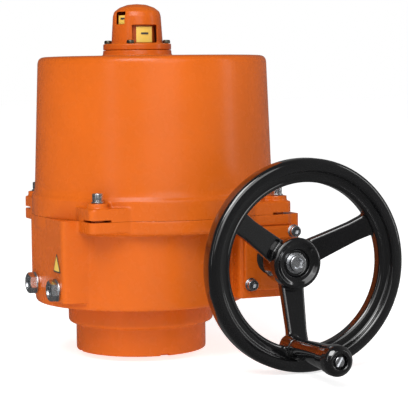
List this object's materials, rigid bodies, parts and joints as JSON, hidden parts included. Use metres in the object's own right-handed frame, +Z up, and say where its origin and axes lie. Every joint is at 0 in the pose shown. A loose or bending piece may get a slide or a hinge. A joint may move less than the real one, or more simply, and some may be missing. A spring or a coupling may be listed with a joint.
{
  "type": "motorized valve actuator",
  "caption": "Quarter-turn electric valve actuator: cast housing with worm drive, round motor cover, dome position indicator and a side handwheel with a revolving grip.",
  "frame": {"origin": "centre of the round valve mounting face, on the output axis", "axes": "+Z up the valve stem axis from the mounting face, -Y out along the handwheel shaft, -X out of the cable entries"},
  "size_m": [0.2977, 0.3793, 0.3342],
  "materials": {
    "orange_enamel": "semi-gloss orange enamel on cast aluminium",
    "black_phenolic": "polished black moulded phenolic",
    "bright_zinc": "bright zinc plated steel",
    "machined_steel": "machined steel",
    "bronze": "machined bronze",
    "black_rubber": "matt black nitrile rubber",
    "yellow_plastic": "satin yellow plastic",
    "dark_plastic": "satin near-black plastic",
    "grey_plastic": "satin grey plastic",
    "green_board": "green solder-resist laminate",
    "motor_enamel": "satin dark grey enamel"
  },
  "bodies": {
    "housing": {"housing": "orange_enamel", "cover": "orange_enamel", "indicator_cap": "orange_enamel", "shaft_cover": "orange_enamel", "cable_plug_1": "bright_zinc", "cable_plug_2": "bright_zinc", "motor_bracket": "bright_zinc", "gear_plate": "bright_zinc", "switch_bracket": "bright_zinc", "cover_screw_1": "bright_zinc", "cover_screw_2": "bright_zinc", "cover_screw_3": "bright_zinc", "cover_screw_4": "bright_zinc", "shaft_cover_screw_1": "bright_zinc", "shaft_cover_screw_2": "bright_zinc", "shaft_cover_screw_3": "bright_zinc", "shaft_cover_screw_4": "bright_zinc", "indicator_screw_1": "bright_zinc", "indicator_screw_2": "bright_zinc", "indicator_screw_3": "bright_zinc", "indicator_screw_4": "bright_zinc", "idler_pin": "machined_steel", "front_bearing": "machined_steel", "rear_bearing": "machined_steel", "output_bush": "bronze", "thrust_washer": "bronze", "cover_gasket": "black_rubber", "shaft_seal": "black_rubber", "output_seal": "black_rubber", "indicator_shaft_seal": "black_rubber", "indicator_gasket": "black_rubber", "hazard_triangle": "yellow_plastic", "limit_switch_lower": "dark_plastic", "limit_switch_upper": "dark_plastic", "board_relay_1": "dark_plastic", "board_relay_2": "dark_plastic", "terminal_strip": "grey_plastic", "run_capacitor": "grey_plastic", "control_board": "green_board", "motor_case": "motor_enamel"},
    "output": {"output_drive": "machined_steel", "worm_wheel": "bronze", "indicator_shaft": "machined_steel", "limit_cam_lower": "yellow_plastic", "limit_cam_upper": "grey_plastic", "indicator_drum": "dark_plastic", "position_flag_lower": "yellow_plastic", "position_flag_upper": "yellow_plastic"},
    "handwheel_shaft": {"worm_shaft": "machined_steel", "worm_shaft_gear": "machined_steel", "handwheel": "black_phenolic", "hub_bolt": "bright_zinc", "handle_spindle": "bright_zinc"},
    "grip": {"handle_grip": "black_phenolic"},
    "idler": {"idler_gear": "machined_steel"},
    "rotor": {"motor_rotor": "machined_steel", "motor_pinion": "machined_steel"},
    "lever_lower": {"switch_lever_lower": "bright_zinc"},
    "lever_upper": {"switch_lever_upper": "bright_zinc"}
  },
  "joints": [
    {"name": "handwheel_turn", "type": "hinge", "parent": "housing", "child": "handwheel_shaft", "pos_m": [0.0925, 0, 0.0922], "axis": [0, -1, 0], "range_deg": [0, 3600]},
    {"name": "output_turn", "type": "hinge", "parent": "housing", "child": "output", "pos_m": [0, 0, 0], "axis": [0, 0, 1], "range_deg": [0, 90]},
    {"name": "idler_turn", "type": "hinge", "parent": "housing", "child": "idler", "pos_m": [0.0685, 0.054, 0.13889], "axis": [0, -1, 0], "range_deg": [-2700, 0]},
    {"name": "motor_turn", "type": "hinge", "parent": "housing", "child": "rotor", "pos_m": [0.04837, 0.054, 0.17597], "axis": [0, -1, 0], "range_deg": [0, 6647]},
    {"name": "grip_spin", "type": "hinge", "parent": "handwheel_shaft", "child": "grip", "pos_m": [0.0802, -0.18, 0.02], "axis": [0, -1, 0], "continuous": true},
    {"name": "lever_lower_press", "type": "hinge", "parent": "housing", "child": "lever_lower", "pos_m": [-0.0275, -0.011, 0.217], "axis": [0, 0, 1], "range_deg": [0, 8], "stiffness_Nm_per_rad": 0.05},
    {"name": "lever_upper_press", "type": "hinge", "parent": "housing", "child": "lever_upper", "pos_m": [-0.0275, -0.011, 0.235], "axis": [0, 0, 1], "range_deg": [0, 8], "stiffness_Nm_per_rad": 0.05}
  ],
  "couplings": [
    {"joint": "output_turn", "follows": "handwheel_turn", "ratio": 0.025},
    {"joint": "idler_turn", "follows": "handwheel_turn", "ratio": -0.75},
    {"joint": "motor_turn", "follows": "handwheel_turn", "ratio": 1.8462}
  ]
}
